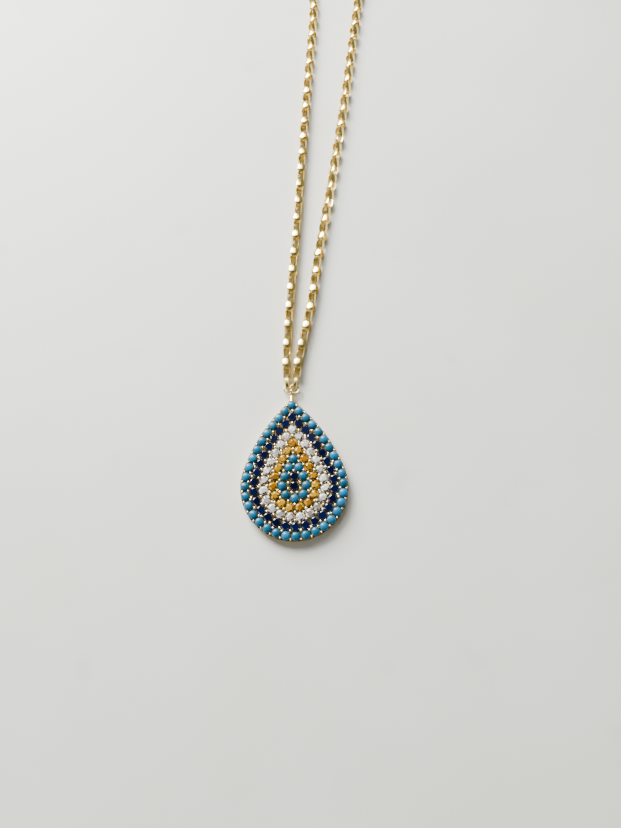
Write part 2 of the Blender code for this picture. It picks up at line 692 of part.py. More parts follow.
# ---- assembly -------------------------------------------------------------------------------------------
def main():
    clear_scene()
    materials = make_materials()
    pendant = make_empty("pendant_eye", y=EYE_Y)
    make_setting(pendant, materials)
    make_stones(pendant, materials)
    make_loop(pendant, materials)
    hang = make_empty("hanging_point", pendant, y=LOOP_Y)
    make_jump_rings(hang, materials)
    link_y = LOOP_RADIUS + end_link_offset(JUMP_RING_RADIUS, JUMP_RING_WIRE, END_LINK_SPREAD)
    for name, side in (("left", -1), ("right", 1)):
        add_object(
            f"end_link_{name}", link_mesh(f"end_link_{name}"), hang, materials["gold"],
            side * (JUMP_RING_LEAN + END_LINK_SPREAD), link_y, CHAIN_HEIGHT,
        )
    make_chain_run("chain_left", LEFT_ROUTE, hang, materials)
    make_chain_run("chain_right", RIGHT_ROUTE, hang, materials)
    make_coil(hang, materials)
    make_clasp(hang, materials)
    make_catch(hang, materials)


main()
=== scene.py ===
"""Looks of the evil eye pendant necklace: pave-set stones and prong beads in a pale gold teardrop,
two jump rings, a fine chain of oval band links and a spring ring clasp, lying on a pale slab.

Shapes are worked out in millimetres and reach their meshes in metres.
"""

import json
from math import asin, cos, pi, radians, sin

import bpy
import numpy as np
from mathutils import Euler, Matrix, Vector
from mathutils.geometry import delaunay_2d_cdt


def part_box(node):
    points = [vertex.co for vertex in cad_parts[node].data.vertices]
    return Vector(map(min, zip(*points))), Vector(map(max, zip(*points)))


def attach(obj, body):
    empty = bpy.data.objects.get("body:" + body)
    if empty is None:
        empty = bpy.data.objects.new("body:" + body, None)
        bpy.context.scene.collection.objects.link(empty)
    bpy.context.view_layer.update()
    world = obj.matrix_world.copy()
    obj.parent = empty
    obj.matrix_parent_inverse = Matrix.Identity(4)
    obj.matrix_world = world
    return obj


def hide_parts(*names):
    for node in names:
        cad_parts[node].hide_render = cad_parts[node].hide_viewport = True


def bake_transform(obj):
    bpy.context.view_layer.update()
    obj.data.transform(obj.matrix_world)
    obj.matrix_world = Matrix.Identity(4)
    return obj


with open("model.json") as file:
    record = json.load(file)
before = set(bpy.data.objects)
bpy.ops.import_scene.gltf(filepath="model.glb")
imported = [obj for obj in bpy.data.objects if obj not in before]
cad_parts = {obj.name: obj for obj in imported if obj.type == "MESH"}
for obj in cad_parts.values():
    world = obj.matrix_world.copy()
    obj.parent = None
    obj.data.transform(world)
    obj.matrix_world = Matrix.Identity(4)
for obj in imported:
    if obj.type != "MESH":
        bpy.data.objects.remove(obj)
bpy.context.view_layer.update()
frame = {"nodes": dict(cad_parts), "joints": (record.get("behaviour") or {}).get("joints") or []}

MM = 0.001


def box(node):
    """Lowest and highest corner of a CAD node, in millimetres."""
    low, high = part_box(node)
    return np.array(low) / MM, np.array(high) / MM


# ---- sizes ---------------------------------------------------------------------------------------
POLE = 0.004  # radius of the tiny ring that shuts a turned shape

# Pave: rows of stones on teardrops, each a round end and two flank arcs, from the outside in
ROWS = 5
STONE_RADIUS = 0.53
STONE_PITCH = 1.18
ROW_STEP = 1.11
ROUND_RADIUS = 5.9
FLANK_RADIUS = 20.0
SHOULDER_ANGLE = radians(20.0)
PUPIL_HEIGHTS = (1.19, 0.03)
OUTSET = 0.56  # from the outer stones' middles to the plate's edge

setting_low, setting_high = box("pendant_setting")
EYE_Y = setting_low[1] + ROUND_RADIUS + OUTSET
PLATE_TOP = setting_high[2]
GIRDLE_LOW = PLATE_TOP + 0.06
GIRDLE_TOP = GIRDLE_LOW + 0.12
DOME_HEIGHT = 0.31
FLAT_CUT = (0.80, 0.12)  # the table's share of the width, and the crown's height
HIGH_CUT = (0.56, 0.18)
PAVILION_DEPTH = 0.68
STONE_TILT = 0.05  # most that a stone leans, as a slope
STONE_TURN = 0.35  # most that a brilliant is turned, in radians
GLINT_TONE_SHAPE = (0.75, 0.7)  # of the draw of the facets' painted brightness, standing in for glints and reflections: many dark and many bright ones
# where the tables' painted glint brightness falls in each stone's range
TABLE_GLINT_TONES = (0.35, 0.75)
TINT_SPREAD = 0.2

# Prong beads
WIDEST_GAP = 1.95  # longest side of a triangle of stones that still holds a bead
LEAST_AREA = 0.4  # twice the area of the flattest such triangle
BEAD_SPACING = 0.24
BEAD_RADII = (0.12, 0.19)
RIM_BEAD_RADIUS = 0.145
RIM_BEAD_OUTSET = 0.37

# Loop and rings
LOOP_RADIUS = 0.52
LOOP_WIRE = 0.18
LOOP_LIFT = 0.07
PENDANT_RING_WIRE = 0.15
PENDANT_RING_STOUTNESS = 1.17
CATCH_RING_WIRE = 0.3
CLASP_RING_WIRE = 0.2

# Chain
LINK_LENGTH = 1.6
LINK_HEIGHT = 1.0
LINK_PLATE = 1.06  # width of the flattened sides
LINK_END = 0.44  # width of the ends
LINK_THICKNESS = 0.17
SLIM_LINK = (0.46, 0.13)  # side width and thickness of the links that hang in rings
LINK_PITCH = 1.33
LINK_LEAN = 0.09  # each link dips ahead under the next
LEAN_SPREAD = 0.025
ROLL_SPREAD = 0.09
CHAIN_DIAMETER = 1.1
LEFT_TWIST = (30.0, 30.0)  # how far along the side an eighth of a turn starts, and how long it takes
RIGHT_TWIST = (6.0, 22.0)
COIL_TURNS = 2.25
COIL_STEPS = 48  # points to the turn
CHAIN_HEIGHT = box("end_link_left")[1][2] / 2 + box("end_link_left")[0][2] / 2
HANG = np.array([0.0, box("pendant_loop")[1][1] - LOOP_RADIUS, 0.0])

# The chain's way from the hanging point to the coil: across, along, and how far off the surface
LEFT_ROUTE = (
    (-0.56, 2.10, 0.0), (-0.52, 3.85, 0.0), (-0.30, 7.25, 0.0), (0.15, 12.15, 0.0), (0.70, 17.35, 0.0),
    (1.35, 23.35, 0.0), (2.00, 29.65, 0.0), (2.58, 35.45, 0.0), (3.15, 41.45, 0.0), (4.05, 50.35, 0.0),
    (4.95, 58.85, 0.0), (5.20, 62.35, 0.0), (5.05, 65.65, 0.0), (4.35, 68.85, 0.0), (3.05, 71.95, 0.0),
    (1.45, 74.80, 0.0),
)
RIGHT_ROUTE = (
    (0.72, 2.10, 0.0), (1.08, 4.45, 0.0), (2.45, 9.95, 0.0), (3.35, 14.25, 0.0), (4.08, 18.65, 0.0),
    (4.85, 22.45, 0.0), (5.63, 26.35, 0.0), (6.55, 31.15, 0.0), (7.49, 36.15, 0.0), (8.27, 40.35, 0.0),
    (9.08, 44.75, 0.0), (9.96, 50.15, 0.0), (10.95, 56.35, 0.0), (12.20, 63.55, 0.0), (12.85, 66.20, 0.0),
    (13.75, 68.75, 0.10), (14.85, 71.35, 0.32), (16.40, 74.80, 0.75),
)

# Camera, from the eye's middle, along and across the way the pendant lies
CAMERA_ASIDE = 1.386
CAMERA_ALONG = -14.453
CAMERA_HEIGHT = 77.64
CAMERA_TILT = radians(17.0)
CAMERA_HEADING = radians(-2.157)
CAMERA_LENS = 28.26
SENSOR_WIDTH = 36.0

SLAB_HALF_WIDTH = 1.5  # metres


# ---- camera, light and floor ---------------------------------------------------------------------
def add(name, data):
    """Puts an object for this data in the scene."""
    obj = bpy.data.objects.new(name, data)
    bpy.context.scene.collection.objects.link(obj)
    return obj


def make_camera():
    """The camera, above the round end and looking a little up along the chain."""
    data = bpy.data.cameras.new("camera")
    data.lens = CAMERA_LENS
    data.sensor_width = SENSOR_WIDTH
    data.sensor_fit = "AUTO"
    data.clip_start = 0.001
    data.clip_end = 10.0
    camera = add("camera", data)
    camera.location = Vector((CAMERA_ASIDE, EYE_Y + CAMERA_ALONG, CAMERA_HEIGHT)) * MM
    camera.rotation_euler = Euler((CAMERA_TILT, 0.0, CAMERA_HEADING))
    bpy.context.scene.camera = camera


def soft_light(name, place, size, power, colour):
    """A square soft box at a place in metres that faces the pendant."""
    data = bpy.data.lights.new(name, "AREA")
    data.shape = "SQUARE"
    data.size = size
    data.energy = power
    data.color = colour
    light = add(name, data)
    light.location = place
    light.rotation_euler = (-Vector(place)).to_track_quat("-Z", "Y").to_euler()


def make_lights():
    """Two windows beyond the tip, a faint one by the round end, and a room that is dark overhead."""
    soft_light("window", (-0.15, 0.24, 0.17), 0.18, 4.9, (1.0, 0.99, 0.97))
    soft_light("skylight", (-0.03, 0.25, 0.29), 0.17, 0.8, (1.0, 0.995, 0.98))
    soft_light("side_window", (-0.42, -0.24, 0.26), 0.22, 0.45, (1.0, 0.995, 0.98))
    world = bpy.data.worlds.new("room")
    world.use_nodes = True
    tree = world.node_tree
    background = tree.nodes["Background"]
    background.inputs["Strength"].default_value = 0.26
    ramp = tree.nodes.new("ShaderNodeValToRGB").color_ramp
    steps = ((0.0, 0.7), (0.5, 1.0), (0.9, 0.9), (0.955, 0.25), (0.985, 0.04), (1.0, 0.04))
    while len(ramp.elements) < len(steps):
        ramp.elements.new(1.0)
    for element, (height, bright) in zip(ramp.elements, steps):
        element.position = height
        element.color = (bright, bright * 0.99, bright * 0.96, 1.0)
    split = tree.nodes.new("ShaderNodeSeparateXYZ")
    tree.links.new(tree.nodes.new("ShaderNodeTexCoord").outputs["Generated"], split.inputs[0])
    tree.links.new(split.outputs["Z"], tree.nodes["Color Ramp"].inputs["Fac"])
    tree.links.new(tree.nodes["Color Ramp"].outputs["Color"], background.inputs["Color"])
    bpy.context.scene.world = world


# ---- material building blocks --------------------------------------------------------------------
class Value:
    """A node's output that takes part in Python sums and products; each adds its Math node."""

    def __init__(self, paint, socket):
        self.paint = paint
        self.socket = socket

    def _math(self, operation, other):
        return self.paint.node("ShaderNodeMath", {"operation": operation}, {0: self, 1: other})

    def __add__(self, other):
        return self._math("ADD", other)

    def __mul__(self, other):
        return self._math("MULTIPLY", other)


class Paint:
    """A material and its nodes."""

    def __init__(self, name, **constants):
        self.material = bpy.data.materials.new(name)
        self.material.use_nodes = True
        self.tree = self.material.node_tree
        self.shader = self.tree.nodes["Principled BSDF"]
        for socket, value in constants.items():
            self.shader.inputs[socket.replace("_", " ")].default_value = value

    def node(self, kind, settings=None, inputs=None, output=0):
        """Adds a node: settings first, a ramp's stops among them, then its sockets' values or links."""
        node = self.tree.nodes.new(kind)
        for name, value in (settings or {}).items():
            if name == "stops":
                self.set_stops(node.color_ramp, value)
            else:
                setattr(node, name, value)
        for socket, value in (inputs or {}).items():
            self.feed(node.inputs[socket], value)
        return Value(self, node.outputs[output])

    def feed(self, socket, value):
        if isinstance(value, Value):
            self.tree.links.new(value.socket, socket)
        else:
            socket.default_value = value

    def set_stops(self, ramp, stops):
        while len(ramp.elements) < len(stops):
            ramp.elements.new(1.0)
        for element, (position, colour) in zip(ramp.elements, stops):
            element.position = position
            element.color = (*colour, 1.0)

    def drive(self, socket, value):
        self.feed(self.shader.inputs[socket], value)

    def place(self):
        return self.node("ShaderNodeTexCoord", output="Object")

    def noise(self, per_mm, detail=3.0, roughness=0.5):
        """Noise with this many features to the millimetre."""
        return self.node(
            "ShaderNodeTexNoise", None,
            {"Vector": self.place(), "Scale": per_mm / MM, "Detail": detail, "Roughness": roughness},
        )

    def attribute(self, name):
        return self.node("ShaderNodeAttribute", {"attribute_name": name}, output="Fac")

    def ramp(self, factor, stops):
        return self.node("ShaderNodeValToRGB", {"stops": stops}, {"Fac": factor})

    def mix(self, factor, first, second):
        return self.node(
            "ShaderNodeMix", {"data_type": "RGBA"}, {"Factor": factor, 6: first, 7: second}, output=2,
        )

    def bump(self, height, strength, distance_mm):
        sockets = {"Height": height, "Strength": strength, "Distance": distance_mm * MM}
        self.drive("Normal", self.node("ShaderNodeBump", None, sockets))


def colour(red, green, blue):
    return (red, green, blue, 1.0)


# ---- materials -----------------------------------------------------------------------------------
def gold_paint(name, light, deep, roughness, per_mm):
    """Polished pale gold: slow drift of tone, fine polishing marks and a slightly uneven surface."""
    paint = Paint(name, Metallic=1.0)
    drift = paint.noise(per_mm)
    paint.drive("Base Color", paint.mix(drift, colour(*deep), colour(*light)))
    marks = paint.noise(per_mm * 9, detail=2.0)
    paint.drive("Roughness", marks * 0.16 + (roughness - 0.08))
    paint.bump(drift, 0.35, 0.02)
    return paint.material


def turquoise_paint():
    """Opaque polished turquoise: mottled blue, tinted stone by stone, with pale wisps."""
    paint = Paint("turquoise_cabochon", IOR=1.5, Coat_Weight=0.1, Coat_Roughness=0.12)
    stone = paint.attribute("tint")
    body = paint.ramp(stone, (
        (0.0, (0.0, 0.045, 0.08)), (0.45, (0.0, 0.075, 0.15)), (1.0, (0.0, 0.125, 0.28)),
    ))
    wisps = paint.ramp(paint.noise(1.6, detail=5.0, roughness=0.62), (
        (0.45, (0.0, 0.0, 0.0)), (0.75, (1.0, 1.0, 1.0)),
    ))
    paint.drive("Base Color", paint.mix(wisps * 0.3, body, colour(0.003, 0.20, 0.34)))
    paint.drive("Roughness", paint.noise(3.0) * 0.14 + 0.24)
    paint.bump(paint.noise(5.0), 0.12, 0.01)
    return paint.material


def facet_glint_paint(name, stops, ior):
    """A faceted stone with painted light: each of its facets has its own painted tone of the light that
    the stone returns, its glints and reflections.
    """
    paint = Paint(name, IOR=ior, Coat_Weight=0.3, Coat_Roughness=0.03)
    # the ramp's hues are the stone's own colour; its spread from dark to bright is painted glints and
    # reflections
    paint.drive("Base Color", paint.ramp(paint.attribute("facet"), stops))
    paint.drive("Roughness", paint.noise(4.0) * 0.06 + 0.04)
    return paint.material


def slab_paint():
    """Pale honed slab with faint clouds."""
    paint = Paint("pale_slab", IOR=1.45)
    clouds = paint.noise(0.045, detail=4.0)
    base = paint.mix(clouds, colour(0.60, 0.61, 0.545), colour(0.74, 0.745, 0.695))
    stains = paint.ramp(paint.noise(0.11, detail=2.0), (
        (0.66, (0.0, 0.0, 0.0)), (0.76, (1.0, 1.0, 1.0)),
    ))
    paint.drive("Base Color", paint.mix(stains * 0.35, base, colour(0.50, 0.51, 0.49)))
    paint.drive("Roughness", clouds * 0.2 + 0.5)
    return paint.material


def make_materials():
    """Every material of the scene, by a short name."""
    return {
        "gold": gold_paint("pale_gold", (0.90, 0.70, 0.28), (0.70, 0.50, 0.13), 0.24, 1.1),
        # the beads' gold is a paler copy of the setting's gold: painted highlight of the light that their
        # small domes catch
        "bead_gold": gold_paint("bead_gold", (0.95, 0.83, 0.56), (0.86, 0.70, 0.38), 0.24, 1.7),
        "link_gold": gold_paint("link_gold", (0.95, 0.77, 0.30), (0.78, 0.57, 0.14), 0.22, 0.9),
        "steel": gold_paint("drawn_steel", (0.72, 0.72, 0.73), (0.58, 0.58, 0.6), 0.28, 2.0),
        "turquoise": turquoise_paint(),
        # Faceted stones: their dark to bright stops are painted glints and reflections; the navy and
        # yellow hues are the stones' own, the clear stones' greys and whites are all painted reflection
        "navy": facet_glint_paint("navy_facets_painted_glints", (
            (0.0, (0.0004, 0.0008, 0.005)), (0.5, (0.0008, 0.002, 0.016)),
            (0.85, (0.0015, 0.005, 0.04)), (1.0, (0.006, 0.02, 0.12)),
        ), 1.76),
        "clear": facet_glint_paint("clear_facets_painted_glints", (
            (0.0, (0.015, 0.011, 0.007)), (0.32, (0.12, 0.10, 0.08)), (0.55, (0.55, 0.52, 0.46)),
            (1.0, (0.98, 0.98, 0.97)),
        ), 2.1),
        "yellow": facet_glint_paint("yellow_facets_painted_glints", (
            (0.0, (0.015, 0.004, 0.0)), (0.3, (0.11, 0.038, 0.0)), (0.6, (0.32, 0.15, 0.0)),
            (1.0, (0.62, 0.37, 0.0)),
        ), 1.5),
        "slab": slab_paint(),
    }


# ---- meshes --------------------------------------------------------------------------------------
def grid_faces(rows, columns, wrap_rows, wrap_columns):
    """Quads over a grid of rows by columns of points, joined round where a direction wraps."""
    row = np.arange(rows if wrap_rows else rows - 1)[:, None]
    column = np.arange(columns if wrap_columns else columns - 1)[None, :]
    below, after = (row + 1) % rows, (column + 1) % columns
    start, end = row * columns, below * columns
    corners = (start + column, end + column, end + after, start + after)
    return np.stack(corners, axis=-1).reshape(-1, 4)


def copies(points, faces, places, along, across, up):
    """A shape set at many places: point = place + x * along + y * across + z * up."""
    moved = places[:, None, :] + (
        points[None, :, 0:1] * along[:, None, :] + points[None, :, 1:2] * across[:, None, :]
        + points[None, :, 2:3] * up[:, None, :]
    )
    steps = np.arange(len(places))[:, None, None] * len(points)
    return moved.reshape(-1, 3), (faces[None] + steps).reshape(-1, faces.shape[1])


def join(shapes):
    """Several (points, faces) as one."""
    points, faces, start = [], [], 0
    for shape_points, shape_faces in shapes:
        points.append(shape_points)
        faces.append(shape_faces + start)
        start += len(shape_points)
    return np.concatenate(points), np.concatenate(faces)


def make_piece(
    name, points, faces, material, body, slot, replaced=(), smooth=True, sharp=None, values=None,
):
    """A mesh object from points in millimetres; values are face attributes.

    With body None the piece rides nothing.
    """
    mesh = bpy.data.meshes.new(name)
    corners = faces.tolist() if isinstance(faces, np.ndarray) else faces
    mesh.from_pydata((points * MM).tolist(), [], corners)
    mesh.polygons.foreach_set("use_smooth", [smooth] * len(mesh.polygons))
    if sharp is not None:
        mesh.set_sharp_from_angle(angle=radians(sharp))
    for attribute, numbers in (values or {}).items():
        layer = mesh.attributes.new(attribute, "FLOAT", "FACE")
        layer.data.foreach_set("value", np.asarray(numbers, dtype=np.float32))
    mesh.materials.append(material)
    mesh.update()
    piece = add(name, mesh)
    if body:
        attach(piece, body)
    if replaced:
        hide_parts(*replaced)
    return piece


def lathe(profile, sides):
    """A profile of (radius, height) turned about Z: (r cos a, r sin a, z)."""
    profile = np.array(profile)
    angle = np.arange(sides) * 2 * pi / sides
    points = np.stack([
        profile[:, None, 0] * np.cos(angle), profile[:, None, 0] * np.sin(angle),
        np.repeat(profile[:, 1:2], sides, axis=1),
    ], axis=-1)
    return points.reshape(-1, 3), grid_faces(len(profile), sides, False, True)[:, ::-1]


def torus(radius, wire, segments=48, sides=14):
    """A round wire bent to a ring about Z: ((R + r cos v) cos u, (R + r cos v) sin u, r sin v)."""
    u = np.arange(segments)[:, None] * 2 * pi / segments
    v = np.arange(sides)[None, :] * 2 * pi / sides
    out = radius + wire / 2 * np.cos(v)
    points = np.stack([out * np.cos(u), out * np.sin(u), wire / 2 * np.sin(v) + 0 * u], axis=-1)
    return points.reshape(-1, 3), grid_faces(segments, sides, True, True)


def set_at(shape, place, along=(1, 0, 0), across=(0, 1, 0), up=(0, 0, 1)):
    """One shape at one place, its X, Y and Z turned to these directions."""
    points, faces = shape
    return copies(points, faces, *(np.array([v], dtype=float) for v in (place, along, across, up)))


# ---- teardrop ------------------------------------------------------------------------------------
def teardrop(inset):
    """The teardrop moved inwards: radii of flank and end, the right flank's centre, and its lengths.

    The flank runs from the tip's angle down to the shoulder's, and the end from there to the bottom.
    """
    flank, end = FLANK_RADIUS - inset, ROUND_RADIUS - inset
    centre = -(FLANK_RADIUS - ROUND_RADIUS) * np.array([cos(SHOULDER_ANGLE), sin(SHOULDER_ANGLE)])
    tip_angle = np.arccos(-centre[0] / flank)
    flank_length = flank * (tip_angle - SHOULDER_ANGLE)
    half = flank_length + end * (SHOULDER_ANGLE + pi / 2)
    return flank, end, centre, tip_angle, flank_length, half


def on_teardrop(inset, distance):
    """Points and outward directions on the teardrop, this far round from the tip."""
    flank, end, centre, tip_angle, flank_length, half = teardrop(inset)
    side = np.where(distance <= half, 1.0, -1.0)
    along = np.where(side > 0, distance, 2 * half - distance)
    on_flank = along <= flank_length
    on_end = SHOULDER_ANGLE - (along - flank_length) / end
    angle = np.where(on_flank, tip_angle - along / flank, on_end)
    radius = np.where(on_flank, flank, end)
    outward = np.stack([side * np.cos(angle), np.sin(angle)], axis=-1)
    x = side * (np.where(on_flank, centre[0], 0.0) + radius * np.cos(angle))
    y = np.where(on_flank, centre[1], 0.0) + radius * np.sin(angle)
    outward[np.abs(x) < 1e-6, 0] = 0.0
    return np.stack([x, y], axis=-1), outward


def row_places(index):
    """Middles and outward directions of a row's stones, evenly round it at about the pitch."""
    inset = index * ROW_STEP
    total = 2 * teardrop(inset)[-1]
    count = round(total / STONE_PITCH)
    return on_teardrop(inset, np.arange(count) * total / count)


def lift(flat, height):
    """Places in the eye's plane as points of the frame."""
    return np.column_stack([flat[:, 0], flat[:, 1] + EYE_Y, np.full(len(flat), height)])


# ---- stones --------------------------------------------------------------------------------------
def cabochon():
    """A domed stone: a cone below the girdle, then a dome, radius R cos^0.85 t and height H sin t."""
    t = np.linspace(0.0, pi / 2, 8)
    foot = GIRDLE_TOP - 0.03
    profile = [
        (0.3, PLATE_TOP - 0.2), (STONE_RADIUS * 0.97, GIRDLE_LOW), (STONE_RADIUS, GIRDLE_LOW + 0.04),
    ]
    profile += [
        (STONE_RADIUS * max(cos(a) ** 0.85, POLE), foot + DOME_HEIGHT * sin(a)) for a in t[:-1]
    ]
    profile.append((POLE, foot + DOME_HEIGHT))
    return lathe(profile, 20)


def brilliant(table, crown):
    """A round brilliant: table, 8 star, 8 kite and 16 girdle facets above, 16 facets down to the culet.

    The table's corners lie at 45 degree steps, the stars' tips between them, and the girdle's corners
    at 22.5 degree steps.
    """
    def ring(radius, height, count, turn=0.0):
        angle = (np.arange(count) + turn) * 2 * pi / count
        return np.column_stack([
            STONE_RADIUS * radius * np.cos(angle), STONE_RADIUS * radius * np.sin(angle),
            np.full(count, height),
        ])

    star_tip, tip_height = (table + 1.0) / 2 + 0.03, GIRDLE_TOP + crown * 0.52
    points = np.concatenate([
        ring(table, GIRDLE_TOP + crown, 8), ring(star_tip, tip_height, 8, 0.5),
        ring(1.0, GIRDLE_TOP, 16), ring(1.0, GIRDLE_LOW, 16),
        [[0.0, 0.0, GIRDLE_LOW - PAVILION_DEPTH]],
    ])
    tip, girdle, low, culet = 8, 16, 32, 48
    faces = [list(range(8))]
    for i in range(8):
        before, after = (i - 1) % 8, (i + 1) % 8
        faces.append([i, tip + i, after])
        faces.append([i, tip + before, girdle + 2 * i, tip + i])
        faces.append([tip + i, girdle + 2 * i, girdle + 2 * i + 1])
        faces.append([tip + i, girdle + 2 * i + 1, girdle + (2 * i + 2) % 16])
    for i in range(16):
        after = (i + 1) % 16
        faces.append([girdle + i, low + i, low + after, girdle + after])
        faces.append([low + i, culet, low + after])
    return points, faces


def many_brilliants(flat, outward, shape, seed, spread):
    """Brilliants at these places, each a little turned and tilted; each of their facets draws its own
    painted tone, a glint or reflection of the light.

    Spread is the lowest painted brightness and how far it reaches above it. The table keeps to the middle
    of that range.
    """
    points, faces = shape
    draw = np.random.default_rng(seed)
    moved, all_faces, glint_tones = [], [], []
    places = lift(flat, 0.0)
    for number, place in enumerate(places):
        way = np.arctan2(outward[number, 1], outward[number, 0])
        turn = way + draw.uniform(-STONE_TURN, STONE_TURN)
        tilt = draw.uniform(-STONE_TILT, STONE_TILT, 2)
        spun = points @ np.array([[cos(turn), sin(turn), 0], [-sin(turn), cos(turn), 0], [0, 0, 1]])
        spun[:, 2] += spun[:, 0] * tilt[0] + spun[:, 1] * tilt[1]
        all_faces += [[corner + number * len(points) for corner in face] for face in faces]
        moved.append(spun + place)
        # each of the stone's facets gets a painted glint brightness, the table one from the middle of the
        # range
        tone = draw.beta(*GLINT_TONE_SHAPE, len(faces)) * spread[1] + spread[0]
        tone[0] = spread[0] + spread[1] * draw.uniform(*TABLE_GLINT_TONES)
        glint_tones.append(tone)
    return np.concatenate(moved), all_faces, np.clip(np.concatenate(glint_tones), 0.0, 1.0)


def make_cabochons(name, flat, nodes, materials, seed, tint):
    """Cabochons at these places, each leaning a little; tint is their middle depth of blue."""
    points, faces = cabochon()
    places = lift(flat, 0.0)
    count = len(places)
    draw = np.random.default_rng(seed)
    lean = draw.uniform(-STONE_TILT, STONE_TILT, (count, 2))
    along = np.column_stack([np.ones(count), np.zeros(count), lean[:, 0]])
    across = np.column_stack([np.zeros(count), np.ones(count), lean[:, 1]])
    up = np.tile([0.0, 0.0, 1.0], (count, 1))
    moved, all_faces = copies(points, faces, places, along, across, up)
    tints = np.clip(draw.normal(tint, TINT_SPREAD, count), 0.0, 1.0)
    make_piece(
        name, moved, all_faces, materials["turquoise"], "pendant", "turquoise", nodes,
        values={"tint": np.repeat(tints, len(faces))},
    )


def make_facet_row(
    name, flat, outward, nodes, finish, slot, materials, shape, seed, spread=(0.0, 1.0),
):
    """One row of brilliants, flat-shaded, with a painted glint tone for each of their facets."""
    points, faces, glint_tones = many_brilliants(flat, outward, shape, seed, spread)
    make_piece(
        name, points, faces, materials[finish], "pendant", slot, nodes,
        smooth=False, values={"facet": glint_tones},
    )


def make_stones(materials):
    """All rows of the eye, and the two pupil stones."""
    rows = [row_places(index) for index in range(ROWS)]
    make_cabochons("turquoise_rim_stones", rows[0][0], ["turquoise_outer_row"], materials, 3, 0.6)
    inner = [f"turquoise_inner_stone_{n + 1:02d}" for n in range(len(rows[4][0]))]
    make_cabochons("turquoise_iris_stones", rows[4][0], inner, materials, 5, 0.4)
    flat_cut, high_cut = brilliant(*FLAT_CUT), brilliant(*HIGH_CUT)
    make_facet_row(
        "navy_stones", *rows[1], ["navy_row"], "navy", "navy_stone", materials, flat_cut, 11,
    )
    make_facet_row(
        "clear_stones", *rows[2], ["clear_row"], "clear", "clear_stone", materials, high_cut, 17,
    )
    yellow = [f"yellow_stone_{n + 1:02d}" for n in range(len(rows[3][0]))]
    make_facet_row(
        "yellow_stones", *rows[3], yellow, "yellow", "yellow_stone", materials, high_cut, 23,
    )
    # the pupils' painted glint brightness stops at 0.7 of the ramp
    pupils = np.array([[0.0, height] for height in PUPIL_HEIGHTS])
    make_facet_row(
        "pupil_stones", pupils, np.array([[0.0, 1.0]] * 2), ["pupil_stone_1", "pupil_stone_2"],
        "navy", "navy_stone", materials, flat_cut, 29, (0.0, 0.7),
    )
    return rows, pupils


# ---- prong beads ---------------------------------------------------------------------------------
def dome(sides=10, rings=5):
    """A bead of radius 1, cut off below its middle: (cos t cos a, cos t sin a, sin t)."""
    t = np.linspace(-0.6, pi / 2, rings + 1)
    profile = [(max(cos(a), 0.01), sin(a)) for a in t]
    return lathe(profile, sides)


def gap_centres(flat):
    """Middles of the gaps between three stones, and how far their sides are from there."""
    triangles = delaunay_2d_cdt([Vector(p) for p in flat], [], [], 0, 1e-6)[2]
    corners = np.array([[flat[i] for i in triangle] for triangle in triangles if len(triangle) == 3])
    a, b, c = corners[:, 0], corners[:, 1], corners[:, 2]
    longest = np.max([np.linalg.norm(side, axis=1) for side in (a - b, b - c, c - a)], axis=0)
    ab, ac = b - a, c - a
    area = 2 * (ab[:, 0] * ac[:, 1] - ab[:, 1] * ac[:, 0])
    keep = (longest < WIDEST_GAP) & (np.abs(area) > LEAST_AREA)
    ab, ac, area, a = ab[keep], ac[keep], area[keep], a[keep]
    ab2, ac2 = (ab**2).sum(1), (ac**2).sum(1)
    centre = a + np.column_stack([
        (ac[:, 1] * ab2 - ab[:, 1] * ac2) / area, (ab[:, 0] * ac2 - ac[:, 0] * ab2) / area,
    ])
    room = np.linalg.norm(centre - a, axis=1) - STONE_RADIUS
    return centre, room


def make_prongs(rows, pupils, materials):
    """A gold bead in each gap between stones, widest gaps first, and one outside each gap of the rim."""
    flat = np.concatenate([row[0] for row in rows] + [pupils])
    centres, room = gap_centres(flat)
    kept = []
    for number in np.argsort(-room):
        if all(np.linalg.norm(centres[number] - centres[other]) > BEAD_SPACING for other in kept):
            kept.append(number)
    draw = np.random.default_rng(41)
    sizes = np.clip(room[kept] + 0.015, *BEAD_RADII) * draw.uniform(0.93, 1.07, len(kept))
    edge, outward = rows[0]
    gaps = (edge + np.roll(edge, -1, axis=0)) / 2
    ways = outward + np.roll(outward, -1, axis=0)
    ways /= np.linalg.norm(ways, axis=1)[:, None]
    rim = gaps + ways * RIM_BEAD_OUTSET
    radii = np.concatenate([sizes, np.full(len(rim), RIM_BEAD_RADIUS)])
    places = np.concatenate([lift(centres[kept], GIRDLE_TOP - 0.02), lift(rim, PLATE_TOP + 0.1)])
    points, faces = dome()
    axes = [np.outer(radii, axis) for axis in np.eye(3)]
    moved, all_faces = copies(points, faces, places, *axes)
    # the beads take the paler gold, its paleness a painted highlight
    make_piece("prong_beads", moved, all_faces, materials["bead_gold"], "pendant", "gold")


# ---- chain ---------------------------------------------------------------------------------------
def smooth_route(knots, parts=6):
    """Points on the smooth curve through the knots (Catmull-Rom)."""
    knots = np.array(knots)
    knots = np.vstack([2 * knots[0] - knots[1], knots, 2 * knots[-1] - knots[-2]])
    a, b, c, d = (knots[i:len(knots) - 3 + i, None, :] for i in range(4))
    t = (np.arange(parts) / parts)[None, :, None]
    curve = 0.5 * (
        2 * b + (c - a) * t + (2 * a - 5 * b + 4 * c - d) * t**2 + (3 * b - a - 3 * c + d) * t**3
    )
    return np.vstack([curve.reshape(-1, 3), knots[-2:-1]])


def evenly(path, step):
    """Points on the path at even steps of about this length, and its unit directions there."""
    lengths = np.concatenate([[0.0], np.cumsum(np.linalg.norm(np.diff(path, axis=0), axis=1))])
    count = max(2, round(lengths[-1] / step) + 1)
    at = np.linspace(0.0, lengths[-1], count)
    points = np.column_stack([np.interp(at, lengths, path[:, axis]) for axis in range(3)])
    ways = np.gradient(points, axis=0)
    return points, ways / np.linalg.norm(ways, axis=1)[:, None]


